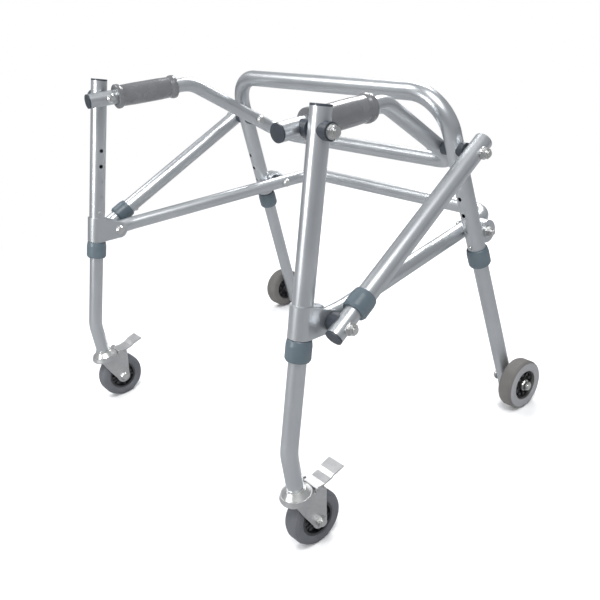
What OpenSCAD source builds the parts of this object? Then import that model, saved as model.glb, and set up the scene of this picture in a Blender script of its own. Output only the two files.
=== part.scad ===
// Folding posterior walker: two leaning front posts on swivel casters, a rear
// frame on fixed wheels, a handle bar and a lower link that close a four-bar
// on each side, and a telescoping diagonal that locks it open.
// X is across the walker, +Y towards the closed rear, Z up from the floor.

/* [Tubes] */
// Outer diameter of posts, rear frame and diagonal sleeves
frame_od = 25.4; // [25:0.1:27]
// Wall of those tubes
frame_wall = 1.3; // [1:0.1:1.4]
// Outer diameter of the telescoping legs and diagonal sliders
leg_od = 22.2; // [21:0.1:22.2]
// Wall of the telescoping tubes
leg_wall = 1.3; // [1:0.1:2]
// Outer diameter of the handle bar
handle_od = 22.2; // [20:0.1:23]
// Wall of the handle bar
handle_wall = 1.5; // [1:0.1:2.5]
// Outer diameter of the lower link
link_od = 22.2; // [20:0.1:22.6]
// Wall of the lower link
link_wall = 1.5; // [1:0.1:2.5]

/* [Front posts] */
// Half of the distance between the post axes
post_x = 273.5; // [266:0.5:290]
// Height of the top of the posts
post_top_z = 540; // [530:1:560]
// Place of the top of the posts along Y
post_top_y = -88.4; // [-94:0.2:-84]
// Lean of the posts, top to the rear
post_lean = 17.15; // [16:0.05:18.5]
// Handle pivot below the top, along the post
handle_drop = 25; // [22:0.5:30]
// Link pivot below the top, along the post
link_drop = 241.5; // [236:0.5:250]
// Link pivot behind the post axis
ear_reach = 35; // [34.6:0.1:40]
// Pitch of the height holes
hole_pitch = 25.4; // [24:0.2:26]
// Height holes in each post
post_holes = 5; // [4:1:5]
// Lowest height hole below the top, along the post
post_hole_drop = 211.5; // [209:0.5:212]

/* [Handle bar] */
// Axis of the bar's front end inside the axis of the post
handle_inset = 30.5; // [29.5:0.5:32.5]
// Front end of the bar ahead of the post pivot
handle_overhang = 31.5; // [28:0.5:40]
// Place of the rise of the bar along Y
handle_bend_y = 49; // [40:1:60]
// Half distance across the bar at that bend
handle_bend_x = 228; // [224:0.5:232]
// Height of the bar at that bend
handle_bend_z = 506; // [500:1:510]
// Bend radius at the grips
handle_bend_r = 45; // [35:1:60]
// From the rear pivot to the corner of the rear crossbar
handle_tail = 63; // [60:1:75]
// Bend radius of the corners of handle bar and link
elbow_r = 46; // [40:1:48]
// Length of a grip
grip_len = 104; // [90:1:112]
// Diameter of a grip
grip_od = 34; // [30:0.5:36]

/* [Rear frame] */
// Place of the rear pivot along Y
rear_pivot_y = 157; // [150:1:162]
// Height of the rear pivot
rear_pivot_z = 419; // [410:0.5:428]
// Half distance across the rear legs at that pivot
rear_x = 242.4; // [238:0.1:248]
// Lean of the rear frame, foot to the rear
rear_lean = 8.25; // [7:0.05:9]
// Splay of each rear leg, foot outwards
rear_splay = 4; // [3.5:0.1:4.6]
// Top bar above the rear pivot, along the frame
rear_rise = 76.5; // [74:0.5:85]
// Bend radius of the top corners
rear_corner_r = 60; // [50:1:62]
// Link pivot below the rear pivot, along the leg
lug_drop = 135.6; // [132:0.1:138]
// Link pivot behind the leg axis
lug_reach = 22.3; // [21.3:0.1:24]
// Half distance across the link at that pivot
link_rear_x = 221.5; // [219:0.5:222]
// From that pivot to the corner of the lower crossbar
link_tail = 67; // [60:1:80]
// Height holes in each rear leg
rear_holes = 4; // [3:1:4]
// Lowest height hole below the rear pivot
rear_hole_drop = 145.5; // [143:0.5:147]

/* [Wheels] */
// Diameter of all four wheels
wheel_d = 76; // [72:0.5:78]
// Width of a caster tyre
caster_tyre_w = 24; // [20:0.5:25]
// Width of a rear tyre
rear_tyre_w = 25; // [22:0.5:30]
// Trail of the caster wheel behind its stem
caster_trail = 18; // [14:0.5:20]
// Foot of the front leg above the top of its caster wheel
stem_rise = 21; // [20:0.5:26]

/* [Fasteners and collars] */
// Diameter of the pivot bolts
bolt_d = 8; // [6:0.5:8]
// Across the flats of their nuts
nut_af = 13; // [12:0.5:14]
// Height of the plastic tube collars
collar_h = 27; // [22:1:28]
// Outer diameter of the collars
collar_od = 32; // [31:0.5:34]
// Diameter of the snap buttons
button_d = 6; // [5:0.5:6.5]

/* [Hidden] */
$fn = 48;
// Clearances: sliding tubes, running pins, fixed fits and rest gaps
slide_gap = 0.3;
run_gap = 0.05;
fit_gap = 0.05;
rest_gap = 0.3;

frame_id = frame_od - 2 * frame_wall;
leg_id = leg_od - 2 * leg_wall;
handle_id = handle_od - 2 * handle_wall;
link_id = link_od - 2 * link_wall;
bolt_hole = bolt_d + 2 * run_gap;

ear_t = 2;
ear_r = 13.5;
ear_gap = 26;
ear_out = ear_gap / 2 + ear_t;
sleeve_h = 40;
head_d = 15;
head_h = 5;
washer_d = 17;
washer_h = 1.6;
nut_h = 6.5;
thread_end = 2;
disc_t = 8;
link_disc_t = 7;
link_play = 4.2;
lug_t = 18;
lug_r = 16.5;
lug_shift = -2.9;
bend_swell = 0.2;
bend_lap = 0.01;
wheel_r = wheel_d / 2;
stem_z = wheel_d + stem_rise;
saddle_d = 20;
seat_cut = 30;
cap_t = 2.5;
cap_in = 9;

// Points of the side view, as [y, z]
function post_at(s, n = 0) = [
    post_top_y - s * sin(post_lean) + n * cos(post_lean),
    post_top_z - s * cos(post_lean) - n * sin(post_lean)];
function rear_at(s, n = 0) = [
    rear_pivot_y + s * sin(rear_lean) + n * cos(rear_lean),
    rear_pivot_z - s * cos(rear_lean) + n * sin(rear_lean)];
function rear_leg_x(s) = rear_x + s * tan(rear_splay);
function xyz(x, p) = [x, p[0], p[1]];

p_handle = post_at(handle_drop);
p_link = post_at(link_drop, ear_reach);
p_rear = rear_at(0);
p_lug = rear_at(lug_drop, lug_reach);

// Collars follow the sleeve of the bracket and the lowest rear hole
post_collar_s = link_drop + sleeve_h / 2 + 1 + collar_h / 2;
rear_collar_s = rear_hole_drop + button_d / 2 + 3.5 + collar_h / 2;
collar_lip = 4;
button_hole = button_d + 0.4;
button_out = 1.8;
post_button_s = post_hole_drop;
leg_lap = 62;
rear_leg_lap = 28;
leg_top_s = post_button_s - leg_lap;
rear_leg_top_s = rear_hole_drop - rear_leg_lap;

// The front leg leaves the line of the post where it turns down to the caster
stub_len = 50;
kink_s = (post_top_z - stem_z - stub_len) / cos(post_lean);
p_kink = post_at(kink_s);
stem_y = p_kink[0];
kink_r = 60;

// Handle bar centre line
handle_front_x = post_x - handle_inset;
handle_slope_x = (handle_bend_x - handle_front_x) / (handle_bend_y - p_handle[0] + handle_overhang);
handle_pivot_x = handle_front_x + handle_slope_x * handle_overhang;
handle_slope_z = (handle_bend_z - p_handle[1]) / (handle_bend_y - p_handle[0]);
handle_front = [
    handle_front_x,
    p_handle[0] - handle_overhang,
    p_handle[1] - handle_slope_z * handle_overhang];
handle_bend = [handle_bend_x, handle_bend_y, handle_bend_z];
saddle_gap = 7.5;
handle_rear_x = rear_x - frame_od / 2 - saddle_gap - handle_od / 2;
handle_rear = xyz(handle_rear_x, p_rear);
function along(a, b, d) = b + d * unit(b - a);
function unit(v) = v / norm(v);
handle_corner_in = along(handle_bend, handle_rear, handle_tail);
handle_path = [handle_front, handle_bend, handle_corner_in];

// Lower link centre line: straight between the ears, then bent inwards to the
// rear pivot and on to the corner of its crossbar
link_front = xyz(post_x, p_link);
link_rear = xyz(link_rear_x, p_lug);
link_nose = 14;
link_straight = 27;
link_bend_r = 60;
link_flat_dir = unit(xyz(0, p_lug - p_link));
link_bend = link_front + link_straight * link_flat_dir;
link_path = [
    link_front - link_nose * link_flat_dir,
    link_bend,
    along(link_bend, link_rear, link_tail)];

// Diagonal, from the link pivot outside the ear to outside the rear leg
diag_low = xyz(post_x + ear_out + rest_gap + link_disc_t + leg_od / 2, p_link);
diag_top = xyz(rear_x + frame_od / 2 + saddle_gap + frame_od / 2, p_rear);
diag_len = norm(diag_top - diag_low);
diag_nose = 17.5;
diag_tail = 22;
diag_collar_at = 35;
// How far the flank of a slanting tube stands out at distance r from its pivot
function flare(a, b, r) = r * abs(a[0] - b[0]) / norm([a[1] - b[1], a[2] - b[2]]);
diag_sleeve_at = diag_collar_at - collar_h / 2 + collar_lip;
diag_button_at = diag_collar_at + collar_h / 2 + button_d / 2 + 6;
diag_slide_len = diag_len - head_d;

// Rear wheels stand outside the rear legs
axle_s = (rear_pivot_z - wheel_r) / cos(rear_lean);
rear_axle_y = rear_at(axle_s)[0];
rear_axle_x = rear_leg_x(axle_s);
rear_wheel_in = rear_axle_x + leg_od / 2 + 3.5;
rear_wheel_out = rear_wheel_in + rear_tyre_w;
foot_below = 22;

// The origin is on the floor, midway between front and rear
y_front = stem_y - 22.5;
y_rear = link_path[2][1] + link_od / 2;
y_mid = (y_front + y_rear) / 2;

module at_origin() {
    translate([0, -y_mid, 0]) children();
}
module sided(side) {
    mirror([side > 0 ? 0 : 1, 0, 0]) children();
}
module post_frame() {
    translate([post_x, post_top_y, post_top_z]) rotate([-post_lean, 0, 0]) children();
}
module rear_frame_axes() {
    translate([0, rear_pivot_y, rear_pivot_z]) rotate([rear_lean, 0, 0]) children();
}
module rear_leg_axes() {
    rear_frame_axes() translate([rear_x, 0, 0]) rotate([0, -rear_splay, 0]) children();
}
// Turns local Z to run from a towards b, with local X kept level
module from_to(a, b) {
    w = unit(b - a);
    u = abs(w[2]) > 0.9999 ? [1, 0, 0] : unit(cross([0, 0, 1], w));
    v = cross(w, u);
    multmatrix([
        [u[0], v[0], w[0], a[0]],
        [u[1], v[1], w[1], a[1]],
        [u[2], v[2], w[2], a[2]],
        [0, 0, 0, 1]]) children();
}
module rod(a, b, d, extra = 0) {
    from_to(a, b) translate([0, 0, -extra]) cylinder(h = norm(b - a) + 2 * extra, d = d);
}
// A cylinder along X between two places
module x_rod(x0, x1, p, d) {
    translate([x0, p[0], p[1]]) rotate([0, 90, 0]) cylinder(h = x1 - x0, d = d);
}
// Angle between two unit vectors and length of the tangent at a bend
function turn(u, v) = acos(u * v);
function tangent(p, i, r) = r * tan(turn(unit(p[i] - p[i - 1]), unit(p[i + 1] - p[i])) / 2);

// A round bar of diameter d along the points p, with bend radius r[i] at each
// inner point, and both ends lengthened by extra. A bend is a hair thicker than
// the straights, and these run a little way into it
module bent_bar(p, r, d, extra = 0) {
    last = len(p) - 1;
    for (i = [0:last - 1]) {
        dir = unit(p[i + 1] - p[i]);
        start = i == 0 ? -extra : tangent(p, i, r[i]) - bend_lap;
        stop = i == last - 1 ? -extra : tangent(p, i + 1, r[i + 1]) - bend_lap;
        rod(p[i] + start * dir, p[i + 1] - stop * dir, d);
    }
    for (i = [1:last - 1]) {
        u = unit(p[i] - p[i - 1]);
        v = unit(p[i + 1] - p[i]);
        n = unit(v - (u * v) * u);
        w = cross(u, n);
        o = p[i] - tangent(p, i, r[i]) * u + r[i] * n;
        multmatrix([
            [-n[0], u[0], w[0], o[0]],
            [-n[1], u[1], w[1], o[1]],
            [-n[2], u[2], w[2], o[2]],
            [0, 0, 0, 1]])
            rotate_extrude(angle = turn(u, v)) translate([r[i], 0]) circle(d = d + bend_swell);
    }
}
function mirrored(p) = [for (i = [len(p) - 1:-1:0]) [-p[i][0], p[i][1], p[i][2]]];

// Round-headed pivot bolt along +X from its head, with the head outside x0
module pivot_bolt(x0, x1, p) {
    translate([x0, p[0], p[1]]) rotate([0, 90, 0]) {
        cylinder(h = x1 - x0, d = bolt_d);
        translate([0, 0, -head_h]) cylinder(h = head_h - 2, d1 = head_d - 4, d2 = head_d);
        translate([0, 0, -2]) cylinder(h = 2, d = head_d);
    }
}
module washer(x0, p) {
    translate([x0, p[0], p[1]]) rotate([0, 90, 0]) difference() {
        cylinder(h = washer_h, d = washer_d);
        translate([0, 0, -1]) cylinder(h = washer_h + 2, d = bolt_d + 2 * fit_gap);
    }
}
module nut(x0, p) {
    translate([x0, p[0], p[1]]) rotate([0, 90, 0]) difference() {
        union() {
            cylinder(h = nut_h - 1.5, d = nut_af / cos(30), $fn = 6);
            translate([0, 0, nut_h - 1.5]) cylinder(h = 1.5, d = nut_af - 1);
        }
        translate([0, 0, -1]) cylinder(h = nut_h + 2, d = bolt_d + 2 * fit_gap);
    }
}
// Washer and nut from x0 outwards, and where the bolt ends beyond them
module washer_and_nut(x0, p) {
    washer(x0, p);
    nut(x0 + washer_h, p);
}
function bolt_end(x0) = x0 + washer_h + nut_h + thread_end;

module post_frame_collar() {
    difference() {
        rotate_extrude() polygon([
            [frame_od / 2 - 2.2, -collar_h / 2 ],
            [collar_od / 2 - 1.6, -collar_h / 2],
            [collar_od / 2, -collar_h / 2 + 3],
            [collar_od / 2, collar_h / 2 - 7],
            [collar_od / 2 - 1, collar_h / 2 - 1],
            [collar_od / 2 - 1.8, collar_h / 2],
            [frame_od / 2 - 2.2, collar_h / 2]]);
        translate([0, 0, -collar_h / 2 + collar_lip]) cylinder(h = collar_h, d = frame_od + 2 * fit_gap);
        translate([0, 0, -collar_h / 2 - 1]) cylinder(h = collar_h, d = leg_od + 2 * slide_gap);
    }
}
// One-piece snap clip: a domed button on a folded leaf. The button points along
// local -X, and the leaf lies inside a tube of bore bore_d around local Z
module snap_clip(bore_d, reach) {
    leaf_w = 8;
    leaf_t = 0.8;
    leaf_x = sqrt(bore_d * bore_d / 4 - leaf_w * leaf_w / 4) - 0.4;
    leaf_up = 24;
    nose = reach + button_out;
    color("silver") {
        rotate([0, -90, 0]) cylinder(h = nose - button_d / 4, d = button_d);
        translate([-(nose - button_d / 4), 0, 0]) intersection() {
            sphere(d = button_d);
            translate([-button_d / 4, -button_d, -button_d]) cube([button_d, 2 * button_d, 2 * button_d]);
        }
        translate([0, leaf_w / 2, 0]) rotate([90, 0, 0]) linear_extrude(leaf_w) polygon([
            [-leaf_x, -7], [-leaf_x, leaf_up], [-leaf_x + 1.6, leaf_up + 1.6],
            [leaf_x, -7], [leaf_x - leaf_t, -7], [-leaf_x + 1.5, leaf_up - 1],
            [-leaf_x + leaf_t, leaf_up - 2], [-leaf_x + leaf_t, -7]]);
    }
}
// Spacer of diameter d on local X from x0 to x1, hollowed to seat on a bar
// that runs through seat points a and b
module saddle(x0, x1, p, d, a, b, bar_d) {
    difference() {
        x_rod(x0, x1, p, d);
        x_rod(x0 - 1, x1 + 1, p, bolt_hole);
        rod(a, b, bar_d + 2 * fit_gap, seat_cut);
    }
}

// Handle bar: both hand rails and the upper crossbar from one bent tube
module handle_tube() at_origin() color("silver") {
    p = concat(handle_path, mirrored(handle_path));
    r = [0, handle_bend_r, elbow_r, elbow_r, handle_bend_r, 0];
    difference() {
        bent_bar(p, r, handle_od);
        bent_bar(p, r, handle_id, 1);
        for (side = [-1, 1]) sided(side) {
            x_rod(handle_pivot_x - handle_od, handle_pivot_x + handle_od, p_handle, bolt_d + 2 * fit_gap);
            x_rod(handle_rear_x - handle_od, handle_rear_x + handle_od, p_rear, bolt_d + 2 * fit_gap);
        }
    }
}
grip_start = handle_overhang + head_d / 2 + 5.5;
grip_flange = 10;
grip_end = 12;
grip_run = 30;
module hand_grips() at_origin() color("dimgray") for (side = [-1, 1]) sided(side)
    from_to(handle_front, handle_bend) translate([0, 0, grip_start]) difference() {
        rotate_extrude() polygon([
            [handle_od / 2 - 1, 0], [grip_od / 2 + 1.2, 0], [grip_od / 2 + 2, 1],
            [grip_od / 2 + 2, 5], [grip_od / 2 + 1, 7.5], [grip_od / 2 - 0.6, grip_flange],
            [grip_od / 2, grip_run], [grip_od / 2, grip_len - grip_run], [grip_od / 2 - 0.6, grip_len - grip_end],
            [grip_od / 2 + 1, grip_len - 9], [grip_od / 2 + 1.6, grip_len - 6],
            [grip_od / 2 + 1.2, grip_len - 2], [grip_od / 2 - 1, grip_len],
            [handle_od / 2 - 1, grip_len]]);
        translate([0, 0, -1]) cylinder(h = grip_len + 2, d = handle_od + 2 * fit_gap);
    }
module handle_caps() at_origin() color("darkslategray") for (side = [-1, 1]) sided(side)
    from_to(handle_front, handle_bend) {
        translate([0, 0, -cap_t]) cylinder(h = cap_t, d = handle_od);
        cylinder(h = cap_in, d = handle_id - 2 * fit_gap);
    }
post_in_x = post_x - frame_od / 2;
post_out_x = post_x + frame_od / 2;
spacer_out_x = post_out_x + disc_t;
diag_out_x = diag_top[0] + frame_od / 2;
post_nut_x = spacer_out_x + rest_gap;
rear_nut_x = diag_out_x + flare(diag_low, diag_top, washer_d / 2) + rest_gap;
front_head_x = handle_pivot_x - handle_od / 2 - flare(handle_front, handle_bend, head_d / 2);
rear_head_x = handle_rear_x - handle_od / 2 - flare(handle_bend, handle_rear, head_d / 2);
// Bolts, washers and nuts of the post pivot and of the rear pivot
module handle_fasteners() at_origin() color("gainsboro") for (side = [-1, 1]) sided(side) {
    pivot_bolt(front_head_x, bolt_end(post_nut_x), p_handle);
    washer_and_nut(post_nut_x, p_handle);
    pivot_bolt(rear_head_x, bolt_end(rear_nut_x), p_rear);
    washer_and_nut(rear_nut_x, p_rear);
}
module handle_saddles() at_origin() color("darkslategray") for (side = [-1, 1]) sided(side)
    saddle(handle_pivot_x + 2, post_in_x - rest_gap, p_handle, saddle_d, handle_front, handle_bend, handle_od);

// Front post with its row of height holes on the inner face
module front_post(side) at_origin() sided(side) color("silver") post_frame() {
    post_len = post_collar_s + collar_h / 2 - collar_lip;
    difference() {
        translate([0, 0, -post_len]) cylinder(h = post_len, d = frame_od);
        translate([0, 0, -post_len - 1]) cylinder(h = post_len + 2, d = frame_id);
        translate([-frame_od, 0, -handle_drop]) rotate([0, 90, 0]) cylinder(h = 2 * frame_od, d = bolt_hole);
        for (i = [0:post_holes - 1])
            translate([-frame_od, 0, -(post_hole_drop - i * hole_pitch)]) rotate([0, 90, 0])
                cylinder(h = frame_od, d = button_hole);
    }
}
module post_cap(side) at_origin() sided(side) color("darkslategray") post_frame() {
    cylinder(h = cap_t, d = frame_od);
    translate([0, 0, -cap_in]) cylinder(h = cap_in, d = frame_id - 2 * fit_gap);
}
// Welded bracket: a sleeve round the post and two ears that hold the link
module link_bracket(side) at_origin() sided(side) color("lightsteelblue") post_frame()
    translate([0, 0, -link_drop]) difference() {
        union() {
            translate([0, 0, -sleeve_h / 2]) cylinder(h = sleeve_h, d = 2 * ear_out);
            for (x = [-ear_out, ear_gap / 2]) translate([x, 0, 0]) rotate([90, 0, 90]) linear_extrude(ear_t) {
                polygon([[2, sleeve_h / 2], [2, -sleeve_h / 2], [ear_reach, -ear_r], [ear_reach, ear_r]]);
                translate([ear_reach, 0]) circle(r = ear_r);
            }
        }
        translate([0, 0, -sleeve_h]) cylinder(h = 2 * sleeve_h, d = frame_od + 2 * fit_gap);
        translate([-2 * ear_gap, ear_reach, 0]) rotate([0, 90, 0]) cylinder(h = 4 * ear_gap, d = bolt_d + 2 * fit_gap);
    }
module post_collar(side) at_origin() sided(side) color("slategray") post_frame()
    translate([0, 0, -post_collar_s]) post_frame_collar();
// The bolt of the link pivot runs through both ears and ends at the outer one
module link_bolt(side) at_origin() sided(side) color("gainsboro")
    pivot_bolt(post_x - ear_out, post_x + ear_out, p_link);
module post_spacer(side) at_origin() sided(side) color("darkslategray")
    saddle(post_x + 6, spacer_out_x, p_handle, 21, xyz(post_x, post_at(0)), xyz(post_x, post_at(100)), frame_od);

// Rear frame: one bent tube, with height holes and a welded lug on each leg
rear_top = rear_rise;
rear_bottom_s = rear_collar_s + collar_h / 2 - collar_lip;
function rear_point(s) = xyz(rear_leg_x(s), rear_at(s));
module rear_frame() at_origin() color("silver") {
    side_path = [rear_point(rear_bottom_s), rear_point(-rear_top)];
    p = concat(side_path, mirrored(side_path));
    r = [0, rear_corner_r, rear_corner_r, 0];
    difference() {
        union() {
            bent_bar(p, r, frame_od);
            for (side = [-1, 1]) sided(side) {
                x_rod(lug_in_x, lug_out_x, p_lug, 2 * lug_r);
            }
        }
        bent_bar(p, r, frame_id, 1);
        for (side = [-1, 1]) sided(side) {
            x_rod(rear_x - frame_od, rear_x + frame_od, p_rear, bolt_hole);
            x_rod(lug_x - lug_t, lug_x + lug_t, p_lug, bolt_d + 2 * fit_gap);
            rear_leg_axes() for (i = [0:rear_holes - 1])
                translate([0, 0, -(rear_hole_drop - i * hole_pitch) / cos(rear_splay)]) rotate([90, 0, 0])
                    cylinder(h = frame_od, d = button_hole);
        }
    }
}
module rear_collars() at_origin() color("slategray") for (side = [-1, 1]) sided(side)
    rear_leg_axes() translate([0, 0, -rear_collar_s / cos(rear_splay)]) post_frame_collar();
// Saddles either side of the rear leg, and the disc between lug and link
lug_x = rear_leg_x(lug_drop) + lug_shift;
lug_in_x = lug_x - lug_t / 2;
lug_out_x = lug_x + lug_t / 2;
link_out_x = link_rear_x + link_od / 2 + flare(link_bend, link_rear, saddle_d / 2) + rest_gap;
module rear_spacers() at_origin() color("darkslategray") for (side = [-1, 1]) sided(side) {
    inner_x = handle_rear_x + handle_od / 2 + flare(handle_bend, handle_rear, saddle_d / 2) + rest_gap;
    outer_x = diag_top[0] - frame_od / 2 - flare(diag_low, diag_top, saddle_d / 2) - rest_gap;
    saddle(inner_x, rear_x - 4, p_rear, saddle_d, rear_point(0), rear_point(60), frame_od);
    saddle(rear_x + 4, outer_x, p_rear, saddle_d, rear_point(0), rear_point(60), frame_od);
    difference() {
        x_rod(link_out_x, lug_in_x, p_lug, saddle_d);
        x_rod(link_out_x - 1, lug_in_x + 1, p_lug, bolt_d + 2 * fit_gap);
    }
}
module lower_fasteners() at_origin() color("gainsboro") for (side = [-1, 1]) sided(side) {
    head_x = link_rear_x - link_od / 2 - flare(link_bend, link_rear, head_d / 2) - rest_gap;
    pivot_bolt(head_x, bolt_end(lug_out_x), p_lug);
    washer_and_nut(lug_out_x, p_lug);
}
// Lower link: both side bars and the lower crossbar from one bent tube
module lower_link() at_origin() color("silver") {
    p = concat(link_path, mirrored(link_path));
    r = [0, link_bend_r, elbow_r, elbow_r, link_bend_r, 0];
    difference() {
        bent_bar(p, r, link_od);
        bent_bar(p, r, link_id, 1);
        for (side = [-1, 1]) sided(side) {
            x_rod(post_x - link_od, post_x + link_od, p_link, bolt_d + 2 * link_play);
            x_rod(link_rear_x - link_od, link_rear_x + link_od, p_lug, bolt_hole);
        }
    }
}

// Diagonal: an outer tube on the rear pivot and a slider on the link pivot
module diagonal_axes() {
    from_to(diag_low, diag_top) children();
}
module diagonal_tube(side) at_origin() sided(side) color("silver") difference() {
    union() {
        diagonal_axes() translate([0, 0, diag_sleeve_at])
            cylinder(h = diag_len + diag_tail - diag_sleeve_at, d = frame_od);
        diagonal_axes() translate([0, 0, diag_len + diag_tail]) cylinder(h = 2, d1 = frame_od, d2 = frame_od - 5);
    }
    diagonal_axes() translate([0, 0, diag_sleeve_at - 1])
        cylinder(h = diag_len + diag_tail - diag_sleeve_at - 1, d = frame_id);
    x_rod(diag_top[0] - frame_od, diag_top[0] + frame_od, p_rear, bolt_hole);
    diagonal_axes() translate([0, 0, diag_button_at]) rotate([90, 0, 0]) cylinder(h = frame_od, d = button_hole);
}
module diagonal_collar(side) at_origin() sided(side) color("slategray") diagonal_axes()
    translate([0, 0, diag_collar_at]) post_frame_collar();
module diagonal_slider(side) at_origin() sided(side) color("silver") difference() {
    diagonal_axes() translate([0, 0, -diag_nose]) cylinder(h = diag_nose + diag_slide_len, d = leg_od);
    diagonal_axes() translate([0, 0, -diag_nose - 1]) cylinder(h = diag_nose + diag_slide_len + 2, d = leg_id);
    x_rod(diag_low[0] - leg_od, diag_low[0] + leg_od, p_link, bolt_d + 2 * fit_gap);
    diagonal_axes() translate([0, 0, diag_button_at]) rotate([90, 0, 0]) cylinder(h = frame_od, d = button_hole);
}
module slider_cap(side) at_origin() sided(side) color("darkslategray") diagonal_axes()
    translate([0, 0, -diag_nose]) {
        translate([0, 0, -cap_t]) cylinder(h = cap_t, d = leg_od);
        cylinder(h = 7, d = leg_id - 2 * fit_gap);
    }
// Outer end of the link pivot: spacer, bolt, washer and nut of the slider
module slider_pivot(side) at_origin() sided(side) {
    spacer_x = post_x + ear_out + rest_gap;
    nut_x = diag_low[0] + leg_od / 2 + flare(diag_low, diag_top, washer_d / 2);
    color("darkslategray") difference() {
        x_rod(spacer_x, diag_low[0] - 3, p_link, 24);
        x_rod(post_x, diag_low[0] + leg_od, p_link, bolt_d + 2 * fit_gap);
        rod(diag_low, diag_top, leg_od + 2 * fit_gap, seat_cut);
    }
    color("gainsboro") {
        x_rod(spacer_x, bolt_end(nut_x), p_link, bolt_d);
        washer_and_nut(nut_x, p_link);
    }
}
module diagonal_clip(side) at_origin() sided(side) diagonal_axes()
    translate([0, 0, diag_button_at]) rotate([0, 0, 90]) snap_clip(leg_id, frame_od / 2);

// Front leg, bent upright near its foot
module front_leg(side) at_origin() sided(side) color("silver") {
    top = xyz(post_x, post_at(leg_top_s));
    foot = [post_x, stem_y, stem_z];
    p = [top, xyz(post_x, p_kink), foot];
    r = [0, kink_r, 0];
    difference() {
        bent_bar(p, r, leg_od);
        bent_bar(p, r, leg_id, 1);
        post_frame() translate([-frame_od, 0, -post_button_s]) rotate([0, 90, 0])
            cylinder(h = frame_od, d = button_hole);
    }
}
module front_clip(side) at_origin() sided(side) post_frame()
    translate([0, 0, -post_button_s]) snap_clip(leg_id, frame_od / 2);

// Caster, about its upright stem
race_z = stem_z - 3;
race_low = wheel_d + 11;
plate_z = wheel_d + 3;
plate_t = 2.5;
fork_half = caster_tyre_w / 2 + 1.6;
fork_t = 2.2;
fork_out = fork_half + fork_t;
kingpin_d = 8;
pin_y = 24;
pin_z = plate_z + plate_t + 2.8;
pin_d = 4;
pedal_t = 1.8;
module stem_axes() {
    translate([post_x, stem_y, 0]) children();
}
// Plug, upper race and kingpin that stay with the leg
module caster_mount(side) at_origin() sided(side) color("lightgray") stem_axes() {
    translate([0, 0, stem_z]) cylinder(h = 12, d = leg_id - 2 * fit_gap);
    translate([0, 0, race_z]) cylinder(h = stem_z - race_z, d = leg_od + 3);
    translate([0, 0, race_low + rest_gap]) cylinder(h = race_z - race_low - rest_gap, d1 = 38, d2 = 27);
    translate([0, 0, plate_z + 0.5]) cylinder(h = race_z - plate_z - 0.5, d = kingpin_d);
}
module caster_fork(side) at_origin() sided(side) color("silver") stem_axes() difference() {
    union() {
        translate([0, 0, plate_z + plate_t]) cylinder(h = race_low - plate_z - plate_t, d1 = 45, d2 = 41);
        translate([0, 0, plate_z]) cylinder(h = plate_t, d = 43);
        translate([-fork_out, 0, plate_z]) cube([2 * fork_out, 27, plate_t]);
        for (x = [-fork_out, fork_half]) translate([x, 0, 0]) rotate([90, 0, 90]) linear_extrude(fork_t) {
            polygon([
                [-13, plate_z], [-13, plate_z + plate_t], [pin_y - 5, plate_z + plate_t],
                [pin_y - 4.5, pin_z], [pin_y + 4.5, pin_z], [pin_y + 12, plate_z],
                [caster_trail + 11, wheel_r], [caster_trail - 11.5, wheel_r - 1], [-5, wheel_r + 22]]);
            translate([caster_trail, wheel_r]) circle(r = 11.5);
            translate([pin_y, pin_z]) circle(r = 4.5);
        }
    }
    translate([0, 0, plate_z - 1]) cylinder(h = 30, d = kingpin_d + 2 * run_gap);
    translate([-2 * fork_out, caster_trail, wheel_r]) rotate([0, 90, 0])
        cylinder(h = 4 * fork_out, d = bolt_d + 2 * fit_gap);
    translate([-2 * fork_out, pin_y, pin_z]) rotate([0, 90, 0]) cylinder(h = 4 * fork_out, d = pin_d + 2 * run_gap);
}
module caster_axle(side) at_origin() sided(side) color("gainsboro") stem_axes() {
    p = [caster_trail, wheel_r];
    pivot_bolt(-fork_out, fork_out + nut_h + 1, p);
    nut(fork_out, p);
}
// Foot pedal with its pin and the shoe that bears on the tyre when pressed
module caster_pedal(side) at_origin() sided(side) color("silver") stem_axes() {
    pedal_half = fork_half - 0.6;
    x_rod(-fork_out - 1, fork_out + 1, [pin_y, pin_z], pin_d);
    translate([-pedal_half, 0, 0]) rotate([90, 0, 90]) linear_extrude(2 * pedal_half)
        polygon([
            [pin_y, pin_z - 2], [pin_y + 12, pin_z - 1.2], [pin_y + 24, pin_z + 0.5],
            [pin_y + 30, pin_z + 4], [pin_y + 46, pin_z + 7.5], [pin_y + 45, pin_z + 9.3],
            [pin_y + 29, pin_z + 5.8], [pin_y + 23, pin_z + 2.4], [pin_y + 12, pin_z + 0.8],
            [pin_y, pin_z + 2]]);
    translate([-14, 0, 0]) rotate([90, 0, 90]) linear_extrude(28) polygon([
        [pin_y + 30, pin_z + 4], [pin_y + 46, pin_z + 7.5], [pin_y + 45, pin_z + 9.3], [pin_y + 29, pin_z + 5.8]]);
    translate([-7, pin_y + 10, pin_z - 8.5]) cube([14, 5, 8.5]);
}
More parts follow.
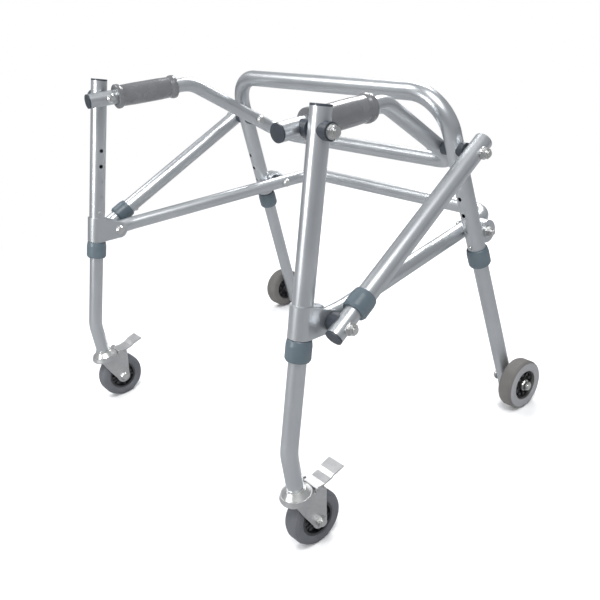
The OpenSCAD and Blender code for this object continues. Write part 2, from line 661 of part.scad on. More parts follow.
// Moulded wheels: a hub with a web and a rim, and a tyre seated on it
module hub(w, rim_r, bore) {
    difference() {
        union() {
            cylinder(h = w, r = 9, center = true);
            cylinder(h = w * 0.3, r = rim_r - 1, center = true);
            difference() {
                cylinder(h = w - 4, r = rim_r, center = true);
                cylinder(h = w, r = rim_r - 3, center = true);
            }
            for (i = [0:4]) rotate([0, 0, i * 72]) translate([0, -1.2, -w * 0.36])
                cube([rim_r - 1.5, 2.4, w * 0.72]);
        }
        cylinder(h = w + 2, r = bore / 2, center = true);
    }
}
module tyre(w, rim_r) {
    difference() {
        rotate_extrude() polygon([
            [rim_r - 1, -w / 2 + 1.5], [rim_r + 2, -w / 2], [wheel_r - 5, -w / 2],
            [wheel_r - 1.5, -w / 2 + 1.6], [wheel_r, -w / 2 + 5], [wheel_r, w / 2 - 5],
            [wheel_r - 1.5, w / 2 - 1.6], [wheel_r - 5, w / 2], [rim_r + 2, w / 2],
            [rim_r - 1, w / 2 - 1.5]]);
        cylinder(h = 2 * w, r = rim_r + fit_gap, center = true);
    }
}
caster_rim_r = 24;
rear_rim_r = 23;
module caster_wheel_axes(side) {
    at_origin() sided(side) stem_axes() translate([0, caster_trail, wheel_r]) rotate([0, 90, 0]) children();
}
module front_hub(side) color("gray") caster_wheel_axes(side)
    hub(2 * fork_half - 2 * rest_gap, caster_rim_r, bolt_d + 2 * run_gap);
module front_tyre(side) color("dimgray") caster_wheel_axes(side) tyre(caster_tyre_w, caster_rim_r);

// Rear leg, drilled for the wheel axle near its foot
module rear_leg(side) at_origin() sided(side) color("silver") {
    top = rear_point(rear_leg_top_s);
    foot = rear_point(axle_s + foot_below);
    difference() {
        rod(top, foot, leg_od);
        rod(top, foot, leg_id, 1);
        x_rod(rear_axle_x - leg_od, rear_axle_x + leg_od, [rear_axle_y, wheel_r], bolt_d + 2 * fit_gap);
        rear_leg_axes() translate([0, 0, -rear_hole_drop / cos(rear_splay)]) rotate([90, 0, 0])
            cylinder(h = frame_od, d = button_hole);
    }
}
module rear_clip(side) at_origin() sided(side) rear_leg_axes()
    translate([0, 0, -rear_hole_drop / cos(rear_splay)]) rotate([0, 0, 90]) snap_clip(leg_id, frame_od / 2);
// Axle bolt, bush, washer and nut of a rear wheel
module rear_axle(side) at_origin() sided(side) color("gainsboro") {
    p = [rear_axle_y, wheel_r];
    head_x = rear_axle_x - leg_od / 2 - 0.6;
    nut_x = rear_wheel_out - 3;
    pivot_bolt(head_x, bolt_end(nut_x) - 1, p);
    washer_and_nut(nut_x, p);
    difference() {
        x_rod(rear_axle_x + 6, rear_wheel_in + 3, p, 15);
        x_rod(rear_axle_x - 1, rear_wheel_in + 5, p, bolt_d + 2 * fit_gap);
        rod(rear_point(axle_s - 30), rear_point(axle_s + 30), leg_od + 2 * fit_gap);
    }
}
module rear_wheel_axes(side) {
    at_origin() sided(side)
        translate([rear_wheel_in + rear_tyre_w / 2, rear_axle_y, wheel_r]) rotate([0, 90, 0]) children();
}
module rear_hub(side) color("black") rear_wheel_axes(side)
    hub(rear_tyre_w - 6.6, rear_rim_r, bolt_d + 2 * run_gap);
module rear_tyre(side) color("darkgray") rear_wheel_axes(side) tyre(rear_tyre_w, rear_rim_r);

handle_tube();
hand_grips();
handle_caps();
handle_fasteners();
handle_saddles();
front_post(1);  // front_post_left
front_post(-1);  // front_post_right
post_cap(1);  // post_cap_left
post_cap(-1);  // post_cap_right
link_bracket(1);  // link_bracket_left
link_bracket(-1);  // link_bracket_right
post_collar(1);  // post_collar_left
post_collar(-1);  // post_collar_right
link_bolt(1);  // link_bolt_left
link_bolt(-1);  // link_bolt_right
post_spacer(1);  // post_spacer_left
post_spacer(-1);  // post_spacer_right
rear_frame();
rear_collars();
rear_spacers();
lower_fasteners();
lower_link();
diagonal_tube(1);  // diagonal_tube_left
diagonal_tube(-1);  // diagonal_tube_right
diagonal_collar(1);  // diagonal_collar_left
diagonal_collar(-1);  // diagonal_collar_right
diagonal_slider(1);  // diagonal_slider_left
diagonal_slider(-1);  // diagonal_slider_right
slider_cap(1);  // slider_cap_left
slider_cap(-1);  // slider_cap_right
slider_pivot(1);  // slider_pivot_left
slider_pivot(-1);  // slider_pivot_right
diagonal_clip(1);  // diagonal_clip_left
diagonal_clip(-1);  // diagonal_clip_right
front_leg(1);  // front_leg_left
front_leg(-1);  // front_leg_right
caster_mount(1);  // caster_mount_left
caster_mount(-1);  // caster_mount_right
front_clip(1);  // front_clip_left
front_clip(-1);  // front_clip_right
caster_fork(1);  // caster_fork_left
caster_fork(-1);  // caster_fork_right
caster_axle(1);  // caster_axle_left
caster_axle(-1);  // caster_axle_right
caster_pedal(1);  // caster_pedal_left
caster_pedal(-1);  // caster_pedal_right
front_hub(1);  // front_hub_left
front_hub(-1);  // front_hub_right
front_tyre(1);  // front_tyre_left
front_tyre(-1);  // front_tyre_right
rear_leg(1);  // rear_leg_left
rear_leg(-1);  // rear_leg_right
rear_axle(1);  // rear_axle_left
rear_axle(-1);  // rear_axle_right
rear_clip(1);  // rear_clip_left
rear_clip(-1);  // rear_clip_right
rear_hub(1);  // rear_hub_left
rear_hub(-1);  // rear_hub_right
rear_tyre(1);  // rear_tyre_left
rear_tyre(-1);  // rear_tyre_right
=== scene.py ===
"""Looks of a folding posterior walker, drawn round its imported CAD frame."""

from __future__ import annotations

import logging
import math
from dataclasses import dataclass, field
from enum import Enum
from typing import Callable, Sequence, Union

import bpy
from mathutils import Matrix, Vector


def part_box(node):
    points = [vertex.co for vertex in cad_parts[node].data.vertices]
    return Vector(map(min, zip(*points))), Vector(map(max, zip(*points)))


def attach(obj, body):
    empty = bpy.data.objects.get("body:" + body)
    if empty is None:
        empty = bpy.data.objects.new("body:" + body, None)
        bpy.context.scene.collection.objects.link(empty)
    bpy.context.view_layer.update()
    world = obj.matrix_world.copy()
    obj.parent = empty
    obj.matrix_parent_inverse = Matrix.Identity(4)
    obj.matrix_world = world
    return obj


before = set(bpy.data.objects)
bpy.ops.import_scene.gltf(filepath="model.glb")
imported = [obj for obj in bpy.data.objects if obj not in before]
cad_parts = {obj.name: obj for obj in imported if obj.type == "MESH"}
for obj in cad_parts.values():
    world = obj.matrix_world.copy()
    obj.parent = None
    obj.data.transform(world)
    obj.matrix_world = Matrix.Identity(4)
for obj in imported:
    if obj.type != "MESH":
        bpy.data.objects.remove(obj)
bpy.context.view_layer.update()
LOG = logging.getLogger("walker")
SIDES = ("left", "right")
Number = Union[int, float]


class Finish(Enum):
    """Surface finishes found on the walker."""

    TUBE = "tube"
    ZINC = "zinc"
    FORK = "fork"
    COLLAR = "collar"
    CAP = "cap"
    GRIP = "grip"
    HUB = "hub"
    CASTER_TYRE = "caster_tyre"
    REAR_TYRE = "rear_tyre"


@dataclass(frozen=True)
class Surface:
    """How one finish looks.

    Attributes:
        pale: the lighter of the two mixed colours.
        deep: the darker of the two mixed colours.
        metallic: metallic value of the shader.
        rough: lowest and highest roughness.
        grain: scale of the fine grain.
        patch: scale of the broad patches.
        relief: strength of the bump.
        coat: weight of a clear coat.
    """

    pale: tuple[float, float, float]
    deep: tuple[float, float, float]
    metallic: float
    rough: tuple[float, float]
    grain: float
    patch: float
    relief: float
    coat: float = 0.0


SURFACES: dict[Finish, Surface] = {
    Finish.TUBE: Surface(
        pale=(0.64, 0.66, 0.68), deep=(0.52, 0.54, 0.56), metallic=0.9,
        rough=(0.30, 0.38), grain=1500.0, patch=9.0, relief=0.006, coat=0.05,
    ),
    Finish.ZINC: Surface(
        pale=(0.78, 0.78, 0.76), deep=(0.60, 0.60, 0.60), metallic=1.0,
        rough=(0.26, 0.38), grain=500.0, patch=60.0, relief=0.03,
    ),
    Finish.FORK: Surface(
        pale=(0.66, 0.66, 0.66), deep=(0.52, 0.52, 0.53), metallic=0.95,
        rough=(0.36, 0.48), grain=420.0, patch=45.0, relief=0.03,
    ),
    Finish.COLLAR: Surface(
        pale=(0.110, 0.143, 0.165), deep=(0.080, 0.108, 0.128), metallic=0.0,
        rough=(0.30, 0.44), grain=1400.0, patch=30.0, relief=0.08,
    ),
    Finish.CAP: Surface(
        pale=(0.045, 0.055, 0.07), deep=(0.025, 0.03, 0.04), metallic=0.0,
        rough=(0.34, 0.50), grain=1300.0, patch=40.0, relief=0.12,
    ),
    Finish.GRIP: Surface(
        pale=(0.165, 0.169, 0.176), deep=(0.110, 0.113, 0.120), metallic=0.0,
        rough=(0.22, 0.32), grain=1600.0, patch=25.0, relief=0.08, coat=0.35,
    ),
    Finish.HUB: Surface(
        pale=(0.040, 0.041, 0.043), deep=(0.022, 0.023, 0.025), metallic=0.0,
        rough=(0.35, 0.55), grain=1100.0, patch=40.0, relief=0.15,
    ),
    Finish.CASTER_TYRE: Surface(
        pale=(0.125, 0.130, 0.145), deep=(0.080, 0.085, 0.096), metallic=0.0,
        rough=(0.50, 0.68), grain=800.0, patch=30.0, relief=0.20,
    ),
    Finish.REAR_TYRE: Surface(
        pale=(0.150, 0.143, 0.136), deep=(0.100, 0.095, 0.090), metallic=0.0,
        rough=(0.60, 0.78), grain=700.0, patch=28.0, relief=0.22,
    ),
}


SIDE_WALL = (0.27, 0.275, 0.285, 1.0)
SIDE_DEPTH = 0.0014
SIDE_BLUR = 0.0006
BUMP_DISTANCE = 0.0004
RAMP_ENDS = (0.3, 0.7)
PATCH_SHARE = 0.75
CELL_SHARE = 0.15
CELL_SCALE = 0.6
PEBBLE_SCALE = 650.0
PEBBLE_SHARE = 0.8
ROD_SIDES = 24
LEAST_SIZE = 0.985
SPACER_DEPTH = 0.016
BOLT_RADIUS = 0.0043
ACROSS = Vector((1.0, 0.0, 0.0))


class Wire:
    """A shader or geometry value that takes part in plain arithmetic."""

    def __init__(self, graph: "Graph", socket: bpy.types.NodeSocket) -> None:
        """Wraps a socket.

        Args:
            graph: the graph that owns the socket.
            socket: an output socket.
        """
        self.graph = graph
        self.socket = socket

    def _math(self, operation: str, first: "Wire | Number", second: "Wire | Number") -> "Wire":
        """Adds a math node.

        Args:
            operation: the name of the operation.
            first: left operand.
            second: right operand.

        Returns:
            The result.
        """
        return self.graph.make("ShaderNodeMath", {0: first, 1: second}, operation=operation)

    def __add__(self, other: "Wire | Number") -> "Wire":
        """Adds another value.

        Args:
            other: the other operand.

        Returns:
            The result.
        """
        return self._math("ADD", self, other)

    def __sub__(self, other: "Wire | Number") -> "Wire":
        """Takes another value from this one.

        Args:
            other: the other operand.

        Returns:
            The result.
        """
        return self._math("SUBTRACT", self, other)

    def __rsub__(self, other: Number) -> "Wire":
        """Takes this value from a number.

        Args:
            other: the other operand.

        Returns:
            The result.
        """
        return self._math("SUBTRACT", other, self)

    def __mul__(self, other: "Wire | Number") -> "Wire":
        """Multiplies by another value.

        Args:
            other: the other operand.

        Returns:
            The result.
        """
        return self._math("MULTIPLY", self, other)

    def __truediv__(self, other: "Wire | Number") -> "Wire":
        """Divides by another value.

        Args:
            other: the other operand.

        Returns:
            The result.
        """
        return self._math("DIVIDE", self, other)

    def clamped(self) -> "Wire":
        """Keeps the value between 0 and 1.

        Returns:
            The clamped value.
        """
        return self.graph.make("ShaderNodeClamp", {"Value": self})


class Graph:
    """Builds nodes of any kind in one node tree."""

    def __init__(self, tree: bpy.types.NodeTree) -> None:
        """Takes over a tree.

        Args:
            tree: the tree to fill.
        """
        self.tree = tree

    def add(
        self,
        kind: str,
        inputs: dict[int | str, object] | None = None,
        **settings: object,
    ) -> bpy.types.Node:
        """Adds a node, sets its properties and feeds its inputs.

        Args:
            kind: the node's type name.
            inputs: values or wires by socket name or number.
            settings: properties of the node.

        Returns:
            The node.
        """
        node = self.tree.nodes.new(kind)
        for name, value in settings.items():
            setattr(node, name, value)
        for key, value in (inputs or {}).items():
            if isinstance(value, Wire):
                self.tree.links.new(value.socket, node.inputs[key])
            else:
                node.inputs[key].default_value = value
        return node

    def make(
        self,
        kind: str,
        inputs: dict[int | str, object] | None = None,
        output: int | str = 0,
        **settings: object,
    ) -> Wire:
        """Adds a node and gives one of its outputs.

        Args:
            kind: the node's type name.
            inputs: values or wires by socket name or number.
            output: name or number of the output wanted.
            settings: properties of the node.

        Returns:
            The chosen output.
        """
        return Wire(self, self.add(kind, inputs, **settings).outputs[output])


class MaterialShop:
    """Makes each procedural material once."""

    def __init__(self) -> None:
        """Starts with no material made."""
        self.made: dict[Finish, bpy.types.Material] = {}

    def get(self, finish: Finish) -> bpy.types.Material:
        """Gives the material of a finish.

        Args:
            finish: which finish.

        Returns:
            The material.
        """
        if finish not in self.made:
            self.made[finish] = self._build(finish, SURFACES[finish])
        return self.made[finish]

    def _build(self, finish: Finish, surface: Surface) -> bpy.types.Material:
        """Builds the nodes of a finish.

        Args:
            finish: which finish.
            surface: its values.

        Returns:
            The material.
        """
        material = bpy.data.materials.new(f"walker_{finish.value}")
        material.use_nodes = True
        graph = Graph(material.node_tree)
        material.node_tree.nodes.clear()
        place = graph.make("ShaderNodeTexCoord", output="Object")
        patch = graph.make(
            "ShaderNodeTexNoise",
            {"Vector": place, "Scale": surface.patch, "Detail": 4.0, "Roughness": 0.55},
            "Fac",
        )
        grain = graph.make(
            "ShaderNodeTexNoise",
            {"Vector": place, "Scale": surface.grain, "Detail": 2.0, "Roughness": 0.6},
            "Fac",
        )
        height = grain
        blend = (patch * PATCH_SHARE + grain * (1.0 - PATCH_SHARE)).clamped()
        if finish is Finish.GRIP:
            height = self._pebbles(graph, place, grain)
        elif finish in (Finish.ZINC, Finish.FORK):
            cells = graph.make(
                "ShaderNodeTexVoronoi",
                {"Vector": place, "Scale": surface.grain * CELL_SCALE},
                "Distance",
            )
            blend = (blend * (1.0 - CELL_SHARE) + cells * CELL_SHARE).clamped()
        colour = self._mix_colour(graph, blend, surface)
        if finish is Finish.REAR_TYRE:
            colour = self._side_wall(graph, place, colour)
        low, high = surface.rough
        rough = (patch * (high - low) + low).clamped()
        bump = graph.make(
            "ShaderNodeBump",
            {"Height": height, "Strength": surface.relief, "Distance": BUMP_DISTANCE},
            "Normal",
        )
        shader = graph.add("ShaderNodeBsdfPrincipled", {
            "Base Color": colour,
            "Roughness": rough,
            "Metallic": surface.metallic,
            "Normal": bump,
            "Coat Weight": surface.coat,
        })
        out = graph.add("ShaderNodeOutputMaterial")
        material.node_tree.links.new(shader.outputs[0], out.inputs[0])
        return material

    @staticmethod
    def _mix_colour(graph: Graph, blend: Wire, surface: Surface) -> Wire:
        """Mixes the two colours of a surface.

        Args:
            graph: the material's graph.
            blend: how much of the pale colour.
            surface: the surface's values.

        Returns:
            The colour.
        """
        ramp = graph.add("ShaderNodeValToRGB", {"Fac": blend})
        ends = zip(ramp.color_ramp.elements, RAMP_ENDS, (surface.deep, surface.pale))
        for stop, position, colour in ends:
            stop.position = position
            stop.color = (*colour, 1.0)
        return Wire(graph, ramp.outputs["Color"])

    @staticmethod
    def _side_wall(graph: Graph, place: Wire, colour: Wire) -> Wire:
        """Lightens the outer face of the rear tyres.

        Args:
            graph: the material's graph.
            place: object coordinates.
            colour: colour of the tread.

        Returns:
            The colour.
        """
        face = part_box("rear_tyre_left")[1].x
        parts = graph.add("ShaderNodeSeparateXYZ", {0: place})
        x = Wire(graph, parts.outputs["X"])
        across = graph.make("ShaderNodeMath", {0: x}, operation="ABSOLUTE")
        side = ((across - (face - SIDE_DEPTH)) / SIDE_BLUR).clamped()
        return graph.make("ShaderNodeMix", {0: side, 6: colour, 7: SIDE_WALL}, 2, data_type="RGBA")

    @staticmethod
    def _pebbles(graph: Graph, place: Wire, grain: Wire) -> Wire:
        """Pebbled skin of a moulded grip.

        Args:
            graph: the material's graph.
            place: object coordinates.
            grain: the fine grain.

        Returns:
            A height.
        """
        cells = graph.make(
            "ShaderNodeTexVoronoi",
            {"Vector": place, "Scale": PEBBLE_SCALE},
            "Distance",
        )
        return (1.0 - cells) * PEBBLE_SHARE + grain * (1.0 - PEBBLE_SHARE)


@dataclass
class RingSet:
    """Copies of one small form round an axis, made with geometry nodes.

    Attributes:
        name: name of the piece.
        centre: middle of the ring, in metres.
        axis: direction of the ring's axis.
        count: number of copies.
        radius: radius of the ring in metres.
        size: size of one copy along the axis, tangent and radius.
        seed: seed of the small changes in size.
    """

    name: str
    centre: Vector
    axis: Vector
    count: int
    radius: float
    size: tuple[float, float, float]
    seed: int = 1

    def _tree(self, material: bpy.types.Material) -> bpy.types.NodeTree:
        """Builds the node group.

        Args:
            material: what the copies are made of.

        Returns:
            The group, with named inputs for count, radius and size.
        """
        tree = bpy.data.node_groups.new(f"{self.name}_nodes", "GeometryNodeTree")
        face = tree.interface
        face.new_socket("Geometry", in_out="INPUT", socket_type="NodeSocketGeometry")
        face.new_socket("Count", in_out="INPUT", socket_type="NodeSocketInt")
        face.new_socket("Radius", in_out="INPUT", socket_type="NodeSocketFloat")
        face.new_socket("Size", in_out="INPUT", socket_type="NodeSocketVector")
        face.new_socket("Seed", in_out="INPUT", socket_type="NodeSocketInt")
        face.new_socket("Geometry", in_out="OUTPUT", socket_type="NodeSocketGeometry")
        graph = Graph(tree)
        entry = graph.add("NodeGroupInput")
        given: Callable[[str], Wire] = lambda key: Wire(graph, entry.outputs[key])
        ring = graph.make(
            "GeometryNodeMeshCircle",
            {"Vertices": given("Count"), "Radius": given("Radius")},
        )
        form = graph.make(
            "GeometryNodeMeshCylinder",
            {"Vertices": ROD_SIDES, "Radius": 0.5, "Depth": 1.0},
        )
        index = graph.make("GeometryNodeInputIndex")
        angle = index * (2.0 * math.pi) / given("Count")
        turn = graph.make("ShaderNodeCombineXYZ", {"Z": angle})
        wobble = graph.make(
            "FunctionNodeRandomValue",
            {2: LEAST_SIZE, 3: 1.0, "ID": index, "Seed": given("Seed")},
            1,
            data_type="FLOAT",
        )
        size = graph.make(
            "ShaderNodeVectorMath",
            {0: given("Size"), "Scale": wobble},
            operation="SCALE",
        )
        copies = graph.make("GeometryNodeInstanceOnPoints", {
            "Points": ring, "Instance": form, "Rotation": turn, "Scale": size,
        })
        real = graph.make("GeometryNodeRealizeInstances", {"Geometry": copies})
        painted = graph.make("GeometryNodeSetMaterial", {"Geometry": real, "Material": material})
        out = graph.add("NodeGroupOutput")
        tree.links.new(painted.socket, out.inputs["Geometry"])
        return tree

    def build(self, material: bpy.types.Material, body: str) -> bpy.types.Object:
        """Makes the piece and lets it ride a body.

        Args:
            material: what the copies are made of.
            body: name of the CAD body.

        Returns:
            The piece, a plain mesh.
        """
        seed_mesh = bpy.data.meshes.new(f"{self.name}_seed")
        maker = bpy.data.objects.new(f"{self.name}_maker", seed_mesh)
        bpy.context.scene.collection.objects.link(maker)
        tree = self._tree(material)
        modifier = maker.modifiers.new("ring", "NODES")
        modifier.node_group = tree
        values = {
            "Count": self.count,
            "Radius": self.radius,
            "Size": self.size,
            "Seed": self.seed,
        }
        for item in tree.interface.items_tree:
            if item.in_out == "INPUT" and item.name in values:
                modifier[item.identifier] = values[item.name]
        bpy.context.view_layer.update()
        graph = bpy.context.evaluated_depsgraph_get()
        mesh = bpy.data.meshes.new_from_object(maker.evaluated_get(graph), depsgraph=graph)
        turn = Vector((0.0, 0.0, 1.0)).rotation_difference(self.axis.normalized())
        mesh.transform(Matrix.Translation(self.centre) @ turn.to_matrix().to_4x4())
        bpy.data.objects.remove(maker)
        mesh.name = self.name
        piece = bpy.data.objects.new(self.name, mesh)
        bpy.context.scene.collection.objects.link(piece)
        if not piece.data.materials:
            piece.data.materials.append(material)
        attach(piece, body)
        return piece


@dataclass
class Assembly:
    """A group of CAD nodes with a finish for each, and what is added to them.

    Attributes:
        shop: where the materials come from.
        finishes: finish by node name.
        added: pieces added to the CAD.
    """

    shop: MaterialShop
    finishes: dict[str, Finish] = field(default_factory=dict)
    added: list[bpy.types.Object] = field(default_factory=list)

    def paint(self) -> None:
        """Gives every node of the group its material."""
        for name, finish in self.finishes.items():
            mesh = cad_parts[name].data
            mesh.materials.clear()
            mesh.materials.append(self.shop.get(finish))

    def middle(self, node: str) -> Vector:
        """Middle of a node's box.

        Args:
            node: name of the CAD node.

        Returns:
            The point, in metres.
        """
        low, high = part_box(node)
        return (low + high) / 2

    def build(self) -> list[bpy.types.Object]:
        """Paints the nodes and adds the details.

        Returns:
            The added pieces.
        """
        self.paint()
        return self.added


class HandleBar(Assembly):
    """Hand rails, grips and what is bolted to them."""

    def build(self) -> list[bpy.types.Object]:
        """Paints the handle bar.

        Returns:
            The added pieces.
        """
        self.finishes = {
            "handle_tube": Finish.TUBE,
            "hand_grips": Finish.GRIP,
            "handle_caps": Finish.CAP,
            "handle_fasteners": Finish.ZINC,
            "handle_saddles": Finish.CAP,
        }
        return super().build()


class RearFrame(Assembly):
    """Inverted U of the rear with its collars, and the lower link."""

    def build(self) -> list[bpy.types.Object]:
        """Paints the rear frame and the lower link.

        Returns:
            The added pieces.
        """
        self.finishes = {
            "rear_frame": Finish.TUBE,
            "rear_collars": Finish.COLLAR,
            "rear_spacers": Finish.CAP,
            "lower_fasteners": Finish.ZINC,
            "lower_link": Finish.TUBE,
        }
        return super().build()


@dataclass
class FrontPost(Assembly):
    """One front post with its bracket, leg and diagonal.

    Attributes:
        side: left or right.
    """

    side: str = "left"

    def build(self) -> list[bpy.types.Object]:
        """Paints the post and the diagonal of one side.

        Returns:
            The added pieces.
        """
        plain = {
            "front_post": Finish.TUBE,
            "post_cap": Finish.CAP,
            "link_bracket": Finish.TUBE,
            "post_collar": Finish.COLLAR,
            "link_bolt": Finish.ZINC,
            "post_spacer": Finish.CAP,
            "diagonal_tube": Finish.TUBE,
            "diagonal_collar": Finish.COLLAR,
            "diagonal_slider": Finish.TUBE,
            "slider_cap": Finish.CAP,
            "slider_pivot": Finish.ZINC,
            "diagonal_clip": Finish.ZINC,
            "front_leg": Finish.TUBE,
            "front_clip": Finish.ZINC,
            "rear_leg": Finish.TUBE,
            "rear_clip": Finish.ZINC,
        }
        self.finishes = {f"{name}_{self.side}": finish for name, finish in plain.items()}
        pieces = super().build()
        self._spacer()
        return pieces

    def _spacer(self) -> None:
        """Makes the spacer in the slider's pivot dark and leaves its bolt bright."""
        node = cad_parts[f"slider_pivot_{self.side}"]
        node.data.materials.append(self.shop.get(Finish.CAP))
        low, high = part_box(node.name)
        middle = (low + high) / 2
        inner = min(abs(low.x), abs(high.x))
        for face in node.data.polygons:
            away = math.hypot(face.center.y - middle.y, face.center.z - middle.z)
            if abs(face.center.x) < inner + SPACER_DEPTH and away > BOLT_RADIUS:
                face.material_index = 1


@dataclass
class Caster(Assembly):
    """One front caster with its race, fork, pedal and wheel.

    Attributes:
        side: left or right.
    """

    side: str = "left"

    def build(self) -> list[bpy.types.Object]:
        """Paints the caster and adds its wheel's spokes.

        Returns:
            The added pieces.
        """
        plain = {
            "caster_mount": Finish.ZINC,
            "caster_fork": Finish.FORK,
            "caster_axle": Finish.ZINC,
            "caster_pedal": Finish.FORK,
            "front_hub": Finish.HUB,
            "front_tyre": Finish.CASTER_TYRE,
        }
        self.finishes = {f"{name}_{self.side}": finish for name, finish in plain.items()}
        super().build()
        centre = self.middle(f"front_hub_{self.side}")
        spokes = RingSet(
            name=f"front_spokes_{self.side}", centre=centre, axis=ACROSS,
            count=8, radius=0.0165, size=(0.006, 0.006, 0.0165), seed=5,
        )
        self.added.append(spokes.build(self.shop.get(Finish.HUB), f"front_wheel_{self.side}"))
        return self.added


@dataclass
class RearWheel(Assembly):
    """One rear wheel on its axle.

    Attributes:
        side: left or right.
    """

    side: str = "left"

    def build(self) -> list[bpy.types.Object]:
        """Paints the wheel and adds the ribs of its hub.

        Returns:
            The added pieces.
        """
        plain = {
            "rear_axle": Finish.ZINC,
            "rear_hub": Finish.HUB,
            "rear_tyre": Finish.REAR_TYRE,
        }
        self.finishes = {f"{name}_{self.side}": finish for name, finish in plain.items()}
        super().build()
        centre = self.middle(f"rear_hub_{self.side}")
        ribs = RingSet(
            name=f"rear_ribs_{self.side}", centre=centre, axis=ACROSS,
            count=10, radius=0.0160, size=(0.005, 0.005, 0.0160), seed=9,
        )
        self.added.append(ribs.build(self.shop.get(Finish.HUB), f"rear_wheel_{self.side}"))
        return self.added


@dataclass(frozen=True)
class Lamp:
    """One soft lamp.

    Attributes:
        place: where it hangs, in metres.
        power: watts.
        size: edge in metres.
    """

    place: tuple[float, float, float]
    power: float
    size: float


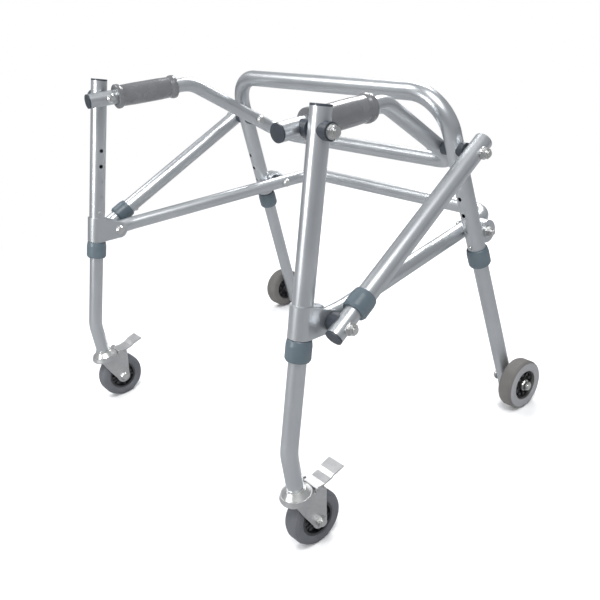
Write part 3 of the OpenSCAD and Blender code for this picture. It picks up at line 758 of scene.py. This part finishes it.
class Studio:
    """Floor, lamps, background and camera."""

    FLOOR_EDGE = 40.0
    FLOOR_CLEAR = 0.55
    FLOOR_FADE = 0.75
    FLOOR_COLOUR = (0.95, 0.95, 0.95, 1.0)
    FLOOR_PAINTED_REFLECTION = (0.33, 0.335, 0.34, 1.0)
    WHITE = (1.0, 1.0, 1.0, 1.0)
    SOFT = {"Color": (0.92, 0.95, 1.0, 1.0), "Strength": 0.42}
    SHINE = {"Color": (0.93, 0.965, 1.0, 1.0), "Strength": 0.40}
    AIM = Vector((0.0, 0.0, 0.25))
    LENS = 45.0
    SENSOR = 36.0
    CAMERA_PLACE = Vector((0.899, -0.6217, 0.714))
    CAMERA_RIGHT = Vector((0.629, 0.764, -0.1441))
    CAMERA_FORWARD = Vector((-0.7314, 0.5186, -0.4425))
    LAMPS: Sequence[Lamp] = (
        Lamp((1.3, -0.6, 2.9), 62.0, 1.5),
        Lamp((-1.6, -0.9, 2.4), 22.0, 1.2),
        Lamp((-0.9, 1.7, 1.9), 44.0, 1.2),
        Lamp((-0.05, -1.76, 0.95), 13.0, 0.5),
    )

    def build(self) -> None:
        """Sets everything up."""
        self._floor()
        for number, lamp in enumerate(self.LAMPS):
            self._lamp(number, lamp)
        self._world()
        self._camera()
        scene = bpy.context.scene
        scene.view_settings.view_transform = "Standard"

    def _floor(self) -> None:
        """Lays a plain pale floor, which shows darker in the tubes than to the eye: a painted
        reflection that shades the tubes.
        """
        mesh = bpy.data.meshes.new("floor")
        edge = self.FLOOR_EDGE
        corners = [(-edge, -edge, 0), (edge, -edge, 0), (edge, edge, 0), (-edge, edge, 0)]
        mesh.from_pydata(corners, [], [(0, 1, 2, 3)])
        floor = bpy.data.objects.new("floor", mesh)
        bpy.context.scene.collection.objects.link(floor)
        material = bpy.data.materials.new("floor_white")
        material.use_nodes = True
        material.node_tree.nodes.clear()
        graph = Graph(material.node_tree)
        place = graph.make("ShaderNodeTexCoord", output="Object")
        away = graph.make("ShaderNodeVectorMath", {0: place}, "Value", operation="LENGTH")
        fade = ((away - self.FLOOR_CLEAR) / self.FLOOR_FADE).clamped()
        matt = graph.make("ShaderNodeBsdfDiffuse", {"Color": self.FLOOR_COLOUR})
        glow = graph.make("ShaderNodeEmission", {"Color": self.WHITE, "Strength": 1.0})
        pale = graph.make("ShaderNodeMixShader", {0: fade, 1: matt, 2: glow})
        # Painted reflection: glossy rays see the floor as a darker grey than the eye does, which
        # paints shade on the tubes.
        path = graph.add("ShaderNodeLightPath")
        mirrored = Wire(graph, path.outputs["Is Glossy Ray"])
        painted_reflection = graph.make("ShaderNodeBsdfDiffuse", {"Color": self.FLOOR_PAINTED_REFLECTION})
        both = graph.make("ShaderNodeMixShader", {0: mirrored, 1: pale, 2: painted_reflection})
        out = graph.add("ShaderNodeOutputMaterial")
        material.node_tree.links.new(both.socket, out.inputs[0])
        mesh.materials.append(material)

    def _lamp(self, number: int, lamp: Lamp) -> None:
        """Hangs one lamp that faces the walker.

        Args:
            number: its number, for its name.
            lamp: its values.
        """
        data = bpy.data.lights.new(f"soft_{number}", "AREA")
        data.energy = lamp.power
        data.shape = "DISK"
        data.size = lamp.size
        item = bpy.data.objects.new(f"soft_{number}", data)
        item.location = lamp.place
        aim = self.AIM - Vector(lamp.place)
        item.rotation_euler = aim.to_track_quat("-Z", "Y").to_euler()
        bpy.context.scene.collection.objects.link(item)

    def _world(self) -> None:
        """White behind the object, softer light around it."""
        world = bpy.data.worlds.new("studio")
        bpy.context.scene.world = world
        world.use_nodes = True
        world.node_tree.nodes.clear()
        graph = Graph(world.node_tree)
        path = graph.add("ShaderNodeLightPath")
        seen = Wire(graph, path.outputs["Is Camera Ray"])
        glossy = Wire(graph, path.outputs["Is Glossy Ray"])
        soft = graph.make("ShaderNodeBackground", self.SOFT)
        shine = graph.make("ShaderNodeBackground", self.SHINE)
        white = graph.make("ShaderNodeBackground", {"Color": self.WHITE, "Strength": 1.0})
        light = graph.make("ShaderNodeMixShader", {0: glossy, 1: soft, 2: shine})
        both = graph.make("ShaderNodeMixShader", {0: seen, 1: light, 2: white})
        out = graph.add("ShaderNodeOutputWorld")
        world.node_tree.links.new(both.socket, out.inputs[0])

    def _camera(self) -> None:
        """Puts the camera where the photo was taken from."""
        data = bpy.data.cameras.new("photo_camera")
        data.lens = self.LENS
        data.sensor_width = self.SENSOR
        camera = bpy.data.objects.new("photo_camera", data)
        right = self.CAMERA_RIGHT.normalized()
        forward = self.CAMERA_FORWARD.normalized()
        up = right.cross(forward).normalized()
        right = forward.cross(up)
        turn = Matrix((right, up, -forward)).transposed().to_4x4()
        camera.matrix_world = Matrix.Translation(self.CAMERA_PLACE) @ turn
        bpy.context.scene.collection.objects.link(camera)
        bpy.context.scene.camera = camera


def main() -> None:
    """Builds the walker's looks and the studio."""
    logging.basicConfig(level=logging.INFO)
    shop = MaterialShop()
    parts: list[Assembly] = [HandleBar(shop), RearFrame(shop)]
    for side in SIDES:
        parts += [FrontPost(shop, side=side), Caster(shop, side=side), RearWheel(shop, side=side)]
    for part in parts:
        added = part.build()
        LOG.info("%s: %d painted, %d added", type(part).__name__, len(part.finishes), len(added))
    Studio().build()


if __name__ == "__main__":
    main()
